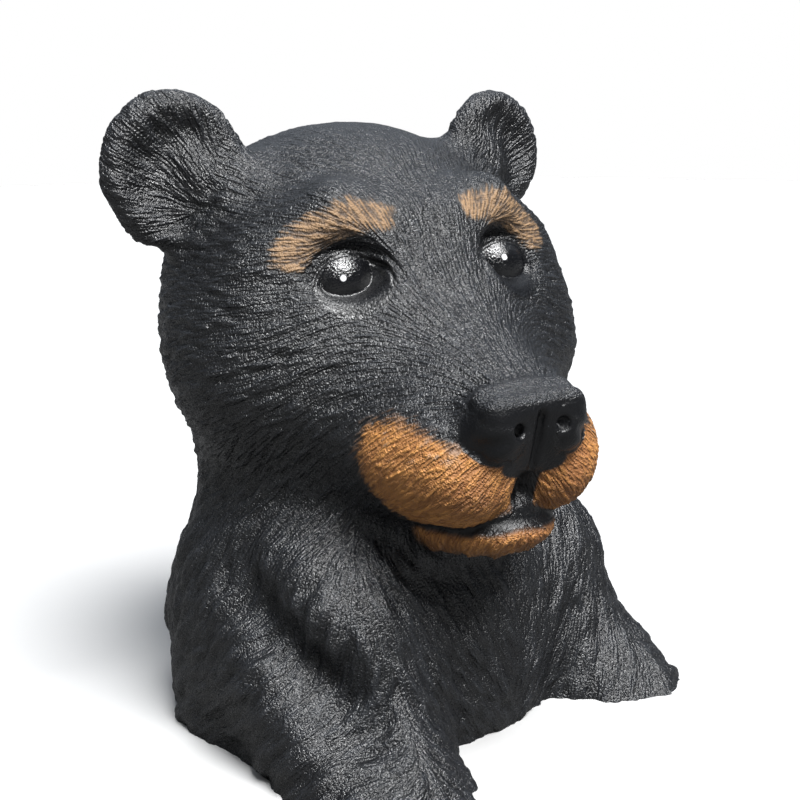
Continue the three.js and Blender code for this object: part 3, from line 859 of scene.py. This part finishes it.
def resinFinish():
    r, plan = Recipe("paintedResin"), resinPlan
    place = r.node("ShaderNodeTexCoord").outputs["Object"]
    way = r.vector("NORMALIZE", r.attribute("hairWay", "Vector"))
    smoothness, stroke, sandAndSheen = r.attribute("smoothness"), r.attribute("stroke"), r.attribute("sandAndSheen")
    lobe, brow, chin = r.attribute("lobe"), r.attribute("brow"), r.attribute("chin")
    nose, lip, eye, lid = r.attribute("nose"), r.attribute("lip"), r.attribute("eye"), r.attribute("lid")
    lobeOrChin, noseOrLip = r.math("MAXIMUM", lobe, chin), r.math("MAXIMUM", nose, lip)

    furry = r.math("SUBTRACT", 1.0, smoothness, clamp=True)
    hair = r.math("MULTIPLY", combedHair(r, place, way, plan["hair"]), furry)
    grit = r.node("ShaderNodeTexNoise", {"Vector": place, **plan["grit"]}).outputs[0]
    cloud = r.node("ShaderNodeTexNoise", {"Vector": place, **plan["cloud"]}).outputs[0]

    # black paint, painted grey on the raised strokes as a painted highlight and left dark in the cuts
    # between them as a painted shade
    raised = r.math("ADD", r.math("MULTIPLY", stroke, 0.6), r.math("MULTIPLY", hair, 0.4))
    raised = r.ramp(r.math("ADD", raised, r.math("MULTIPLY", cloud, 0.3)), 0.28, 1.2)
    # the nose's upward-facing top is speckled grey, partly its sandy grain and partly painted highlight
    paintedHighlight = r.math("MAXIMUM", raised, r.math("MULTIPLY", sandAndSheen, r.ramp(grit, 0.35, 0.7)))
    colour = r.mix(paintedHighlight, plan["dark"], plan["grey"])

    # tan patches, browner toward the front, darker brown toward the bottom and in the cuts between strokes
    # as painted shade, and worn through at the edges
    tanShare = r.math("ADD", r.math("MULTIPLY", raised, 0.6), r.math("MULTIPLY", cloud, 0.5))
    shade = r.math("MULTIPLY", r.attribute("shade"), 0.75)
    tanShare = r.math("SUBTRACT", r.ramp(tanShare, 0.05, 0.75), shade, clamp=True)
    tanTone = r.mix(tanShare, plan["brown"], plan["tan"])
    worn = r.math("ADD", r.math("MULTIPLY", hair, 0.35), r.math("MULTIPLY", lobe, 0.9))
    colour = r.mix(r.math("MULTIPLY", lobe, r.ramp(worn, 0.35, 0.9)), colour, tanTone)
    bare = r.math("MULTIPLY", r.attribute("patch"), r.ramp(hair, 0.2, 0.8))
    colour = r.mix(bare, colour, plan["patch"])
    colour = r.mix(chin, colour, tanTone)

    # thinner tan on the brows, which the hairs break up, with browner cuts between the strokes as painted
    # shade
    browRaised = r.ramp(r.math("ADD", raised, r.math("MULTIPLY", hair, 0.4)), 0.0, 0.7)
    browTone = r.mix(browRaised, plan["browBrown"], plan["browTan"])
    browShare = r.math("ADD", brow, r.math("MULTIPLY", r.math("SUBTRACT", hair, 0.5), 0.4))
    browShare = r.math("MULTIPLY", r.ramp(browShare, 0.15, 1.0), r.ramp(brow, 0.02, 0.4))
    colour = r.mix(browShare, colour, browTone)

    # painted shade in the hollow inside the lids' opening, and gloss black on eyes, nose and lips
    colour = r.mix(r.math("MULTIPLY", lid, 0.85), colour, plan["dark"])
    gloss = r.math("MAXIMUM", r.math("MULTIPLY", nose, 0.85), r.math("MULTIPLY", lip, 0.9))
    colour = r.mix(gloss, colour, plan["dark"])
    colour = r.mix(eye, colour, plan["black"])

    # painted glints: fine light specks standing in for the glints of the gritty paint
    paintedGlintPlan = plan["paintedGlintPlan"]
    cells = {"Vector": place, "Scale": paintedGlintPlan["fineness"], "Randomness": 1.0}
    glintCells = r.node("ShaderNodeTexVoronoi", cells).outputs
    lot = r.node("ShaderNodeSeparateColor", {0: glintCells["Color"]}).outputs[0]
    chosen = r.math("GREATER_THAN", lot, paintedGlintPlan["rarity"])
    paintedGlint = r.math("MULTIPLY", r.ramp(glintCells["Distance"], *paintedGlintPlan["size"], 1.0, 0.0), chosen)
    paintedGlint = r.math("MULTIPLY", paintedGlint, r.math("SUBTRACT", 1.0, eye, clamp=True))
    colour = r.mix(r.math("MULTIPLY", paintedGlint, paintedGlintPlan["amount"]), colour, plan["paintedGlint"])

    # a white dot on each eye, and a chip on the far ear
    small, large = plan["dotSize"] * 0.75, plan["dotSize"] * 1.25
    for dot in plan["eyeDots"]:
        away = r.vector("DISTANCE", place, headToWorld(dot))
        colour = r.mix(r.ramp(away, small, large, 1.0, 0.0), colour, plan["white"])
    away = r.vector("DISTANCE", place, headToWorld(plan["chip"]))
    away = r.math("ADD", away, r.math("MULTIPLY", grit, 0.0016))
    chipped = r.ramp(away, plan["chipSize"], plan["chipSize"] * 1.35, 1.0, 0.0)
    colour = r.mix(chipped, colour, plan["white"])

    roughness, shine = plan["roughness"], plan["shine"]
    rough = r.blend(r.ramp(grit, 0.35, 0.65), *roughness["fur"])
    rough = r.blend(noseOrLip, rough, r.blend(grit, *roughness["gloss"]))
    rough = r.blend(r.math("MAXIMUM", brow, lobeOrChin), rough, roughness["tan"])
    rough = r.blend(eye, rough, roughness["eye"])
    specular = r.blend(r.math("MAXIMUM", lid, noseOrLip), shine["fur"], shine["gloss"])

    # bump, in metres
    grain, tall = plan["grain"], plan["hairHeight"]
    gritHeight = r.blend(eye, r.blend(smoothness, grain["fur"], grain["smooth"]), grain["eye"])
    sandHeight = r.math("MULTIPLY", r.math("MULTIPLY", grit, sandAndSheen), grain["sandAndSheen"])
    height = r.math("ADD", r.math("MULTIPLY", grit, gritHeight), sandHeight)
    hairHeight = r.blend(lobeOrChin, r.blend(r.attribute("onHead"), tall["coat"], tall["head"]), tall["tan"])
    height = r.math("ADD", r.math("MULTIPLY", hair, hairHeight), height)
    bump = r.node("ShaderNodeBump", {"Strength": 1.0, "Distance": 1.0, "Height": height}).outputs[0]
    look = {"Base Color": colour, "Roughness": rough, "Specular IOR Level": specular, "Normal": bump}
    shader = r.node("ShaderNodeBsdfPrincipled", look)
    r.node("ShaderNodeOutputMaterial", {"Surface": shader.outputs[0]})
    return r.material


bust.data.materials.append(resinFinish())
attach(bust, "root")
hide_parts("bear_bust")
print("resin painted")

# Floor and light
studioPlan = {
    "floorSize": 14.0,
    "floorTone": (0.42, 0.42, 0.418, 1),
    "bounceTone": (0.10, 0.10, 0.10, 1),       # the floor as it lights the bear
    "backdropTone": (1.0, 1.0, 1.0, 1),
    "roomTone": (0.80, 0.88, 1.0, 1),
    "roomStrength": 0.05,
    "glow": {"strength": 0.8, "from": (0.30, 0.30, 0.905), "spread": (0.4, 1.0)},   # pale ceiling
    "sky": {"power": 8.5, "spread": 32.0, "from": (-0.12, -0.48, 0.87)},            # large soft source
    "window": {"at": (-1.2, 0.1, 0.9), "size": 0.6, "power": 1.5},
}


def makeStudio(plan):
    bpy.ops.mesh.primitive_grid_add(x_subdivisions=8, y_subdivisions=8, size=plan["floorSize"])
    floor = bpy.context.object
    floor.name = "studioFloor"
    r = Recipe("paleFloor")
    place = r.node("ShaderNodeTexCoord").outputs["Object"]
    mottle = r.node("ShaderNodeTexNoise", {"Vector": place, "Scale": 3.0, "Detail": 2.0}).outputs[0]
    tone = r.mix(r.math("MULTIPLY", mottle, 0.06), plan["floorTone"], (1, 1, 1, 1))
    tone = r.mix(r.node("ShaderNodeLightPath").outputs["Is Camera Ray"], plan["bounceTone"], tone)
    shader = r.node("ShaderNodeBsdfPrincipled", {"Base Color": tone, "Roughness": 0.8})
    r.node("ShaderNodeOutputMaterial", {"Surface": shader.outputs[0]})
    floor.data.materials.append(r.material)
    # the room lights the bear dimly, and shows as a pale backdrop
    world = bpy.data.worlds.new("paleRoom")
    world.use_nodes = True
    nodes, links = world.node_tree.nodes, world.node_tree.links
    room = nodes["Background"]
    room.inputs[0].default_value = plan["roomTone"]
    bearing = nodes.new("ShaderNodeTexCoord")
    toGlow, rise = nodes.new("ShaderNodeVectorMath"), nodes.new("ShaderNodeMapRange")
    toGlow.operation, rise.interpolation_type = "DOT_PRODUCT", "SMOOTHSTEP"
    toGlow.inputs[1].default_value = plan["glow"]["from"]
    start, end = plan["glow"]["spread"]
    ends = {1: start, 2: end, 3: plan["roomStrength"], 4: plan["glow"]["strength"]}
    for key, value in ends.items():
        rise.inputs[key].default_value = value
    links.new(bearing.outputs["Generated"], toGlow.inputs[0])
    links.new(toGlow.outputs["Value"], rise.inputs[0])
    links.new(rise.outputs[0], room.inputs[1])
    backdrop = nodes.new("ShaderNodeBackground")
    backdrop.inputs[0].default_value = plan["backdropTone"]
    seen, either = nodes.new("ShaderNodeLightPath"), nodes.new("ShaderNodeMixShader")
    links.new(seen.outputs["Is Camera Ray"], either.inputs[0])
    links.new(room.outputs[0], either.inputs[1])
    links.new(backdrop.outputs[0], either.inputs[2])
    links.new(either.outputs[0], nodes["World Output"].inputs[0])
    bpy.context.scene.world = world
    sky = bpy.data.lights.new("softSky", "SUN")
    sky.energy, sky.angle = plan["sky"]["power"], math.radians(plan["sky"]["spread"])
    window = bpy.data.lights.new("softWindow", "AREA")
    window.energy, window.size = plan["window"]["power"], plan["window"]["size"]
    for data, place in ((sky, plan["sky"]["from"]), (window, plan["window"]["at"])):
        lamp = bpy.data.objects.new(data.name, data)
        lamp.location = place
        aim = Vector((0, 0, 0 if data is sky else 0.18)) - Vector(place)
        lamp.rotation_euler = aim.to_track_quat("-Z", "Y").to_euler()
        bpy.context.scene.collection.objects.link(lamp)


makeStudio(studioPlan)
bpy.context.scene.view_settings.view_transform = "Standard"
print("studio lit")
